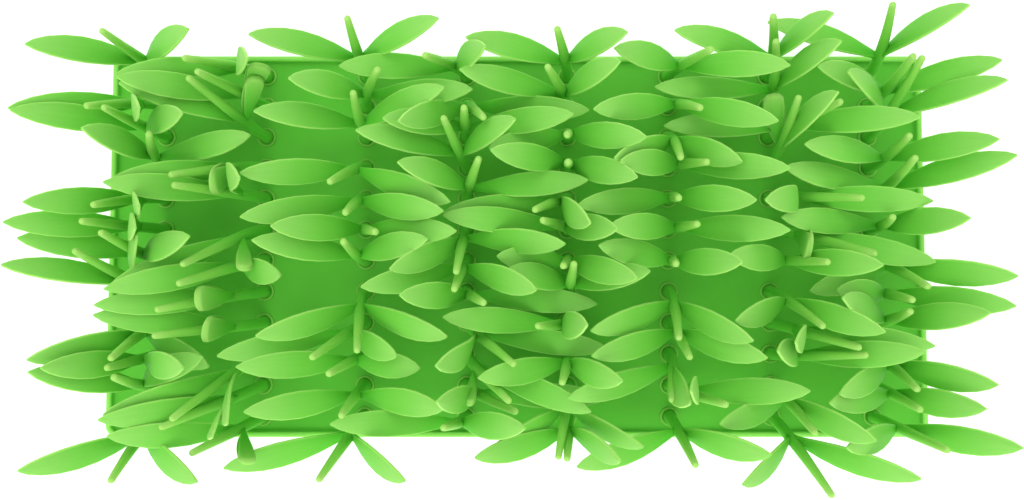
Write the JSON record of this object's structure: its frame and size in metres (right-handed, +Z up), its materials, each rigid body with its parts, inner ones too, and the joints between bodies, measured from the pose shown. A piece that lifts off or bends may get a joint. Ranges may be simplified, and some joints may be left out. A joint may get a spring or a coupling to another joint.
{
  "type": "lick mat",
  "caption": "Shallow rectangular silicone tray planted with a grid of soft grass-like sprouts, each a stem between two leaves, where pet food is spread to slow licking.",
  "frame": {"origin": "middle of the flat underside, where the mat rests", "axes": "+X along the tray's long side, +Y across it, +Z up out of the floor"},
  "size_m": [0.2869, 0.1472, 0.0558],
  "materials": {
    "tray_silicone": "satin",
    "sprout_silicone": "satin"
  },
  "bodies": {
    "root": {"tray": "tray_silicone", "sprout_column_1": "sprout_silicone", "sprout_column_2": "sprout_silicone", "sprout_column_3": "sprout_silicone", "sprout_column_4": "sprout_silicone", "sprout_column_5": "sprout_silicone", "sprout_column_6": "sprout_silicone", "sprout_column_7": "sprout_silicone", "sprout_column_8": "sprout_silicone"}
  },
  "joints": []
}
